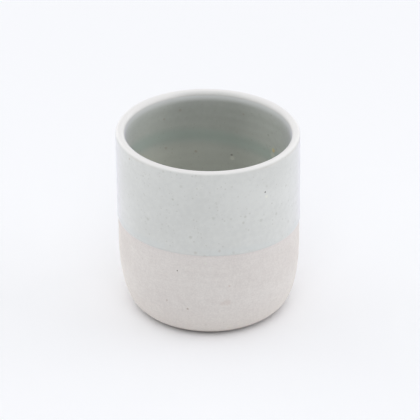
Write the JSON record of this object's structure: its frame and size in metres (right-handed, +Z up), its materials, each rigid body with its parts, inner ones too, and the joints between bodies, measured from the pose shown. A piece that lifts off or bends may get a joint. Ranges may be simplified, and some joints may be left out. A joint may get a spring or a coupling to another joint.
{
  "type": "tumbler",
  "caption": "Handleless stoneware tumbler with straight upper walls, a softly rounded base, a celadon glaze on the upper half and inside, and bare clay below.",
  "frame": {"origin": "middle of the standing ring, on the surface that the tumbler stands on", "axes": "+Z up along the tumbler's axis, out of its mouth"},
  "size_m": [0.0804, 0.0804, 0.084],
  "materials": {
    "bare_stoneware": "matt fired clay, fine grained, with a few dark specks",
    "dipped_celadon": "satin pale celadon with fine iron specks",
    "liner_celadon": "glossy grey-green celadon"
  },
  "bodies": {
    "root": {"clay_body": "bare_stoneware", "dipped_glaze": "dipped_celadon", "liner_glaze": "liner_celadon"}
  },
  "joints": []
}
